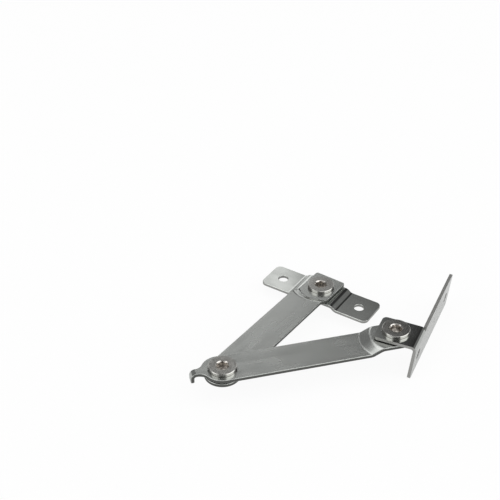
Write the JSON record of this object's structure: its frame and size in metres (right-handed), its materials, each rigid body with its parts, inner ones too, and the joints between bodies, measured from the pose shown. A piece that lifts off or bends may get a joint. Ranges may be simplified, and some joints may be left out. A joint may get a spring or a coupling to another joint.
{
  "type": "friction stay",
  "caption": "Folding window friction stay: flat steel arms with a stop hook, a bridge bracket, an angle bracket and adjustable friction pivots.",
  "frame": {"origin": "on the frame pivot's axis, in the plane of the two screw tabs' undersides, midway between the frame bracket's screw holes", "axes": "+Z away from the window frame along all three pivot axes, towards the screw heads; +X along the frame bracket towards its right tab; the open stay reaches towards -Y"},
  "size_m": [0.0952, 0.1292, 0.0214],
  "materials": {
    "sheet_steel": "satin stainless sheet with a fine lengthwise grain",
    "screw_steel": "turned stainless screw, satin top and bright edge",
    "spring_steel": "dark tempered spring steel",
    "washer_steel": "thin bright washer",
    "bronze": "plain sintered bearing bronze",
    "black_nylon": "dull black friction washer",
    "nut_steel": "turned stainless nut"
  },
  "bodies": {
    "frame_side": {"frame_bracket": "sheet_steel", "frame_nut": "nut_steel", "frame_screw": "screw_steel", "frame_disc_spring": "spring_steel", "frame_slip_washer": "washer_steel", "frame_friction_washer": "black_nylon"},
    "inner_link": {"inner_arm": "sheet_steel", "frame_bush": "bronze", "elbow_nut": "nut_steel", "elbow_screw": "screw_steel", "elbow_disc_spring": "spring_steel", "elbow_slip_washer": "washer_steel", "elbow_friction_washer": "black_nylon"},
    "hook_link": {"hook_arm": "sheet_steel", "elbow_bush": "bronze", "sash_nut": "nut_steel", "sash_screw": "screw_steel", "sash_disc_spring": "spring_steel", "sash_slip_washer": "washer_steel", "sash_friction_washer": "black_nylon"},
    "sash_side": {"sash_bracket": "sheet_steel", "sash_bush": "bronze"}
  },
  "joints": [
    {"name": "frame_pivot", "type": "hinge", "parent": "frame_side", "child": "inner_link", "pos_m": [0, 0, 0], "axis": [0, 0, 1], "range_deg": [-87.4, 92.6]},
    {"name": "elbow_pivot", "type": "hinge", "parent": "inner_link", "child": "hook_link", "pos_m": [-0.00374, -0.08242, 0], "axis": [0, 0, 1], "range_deg": [-89, 14]},
    {"name": "sash_pivot", "type": "hinge", "parent": "hook_link", "child": "sash_side", "pos_m": [0.05167, -0.0213, 0], "axis": [0, 0, 1], "range_deg": [-63, 22]}
  ]
}
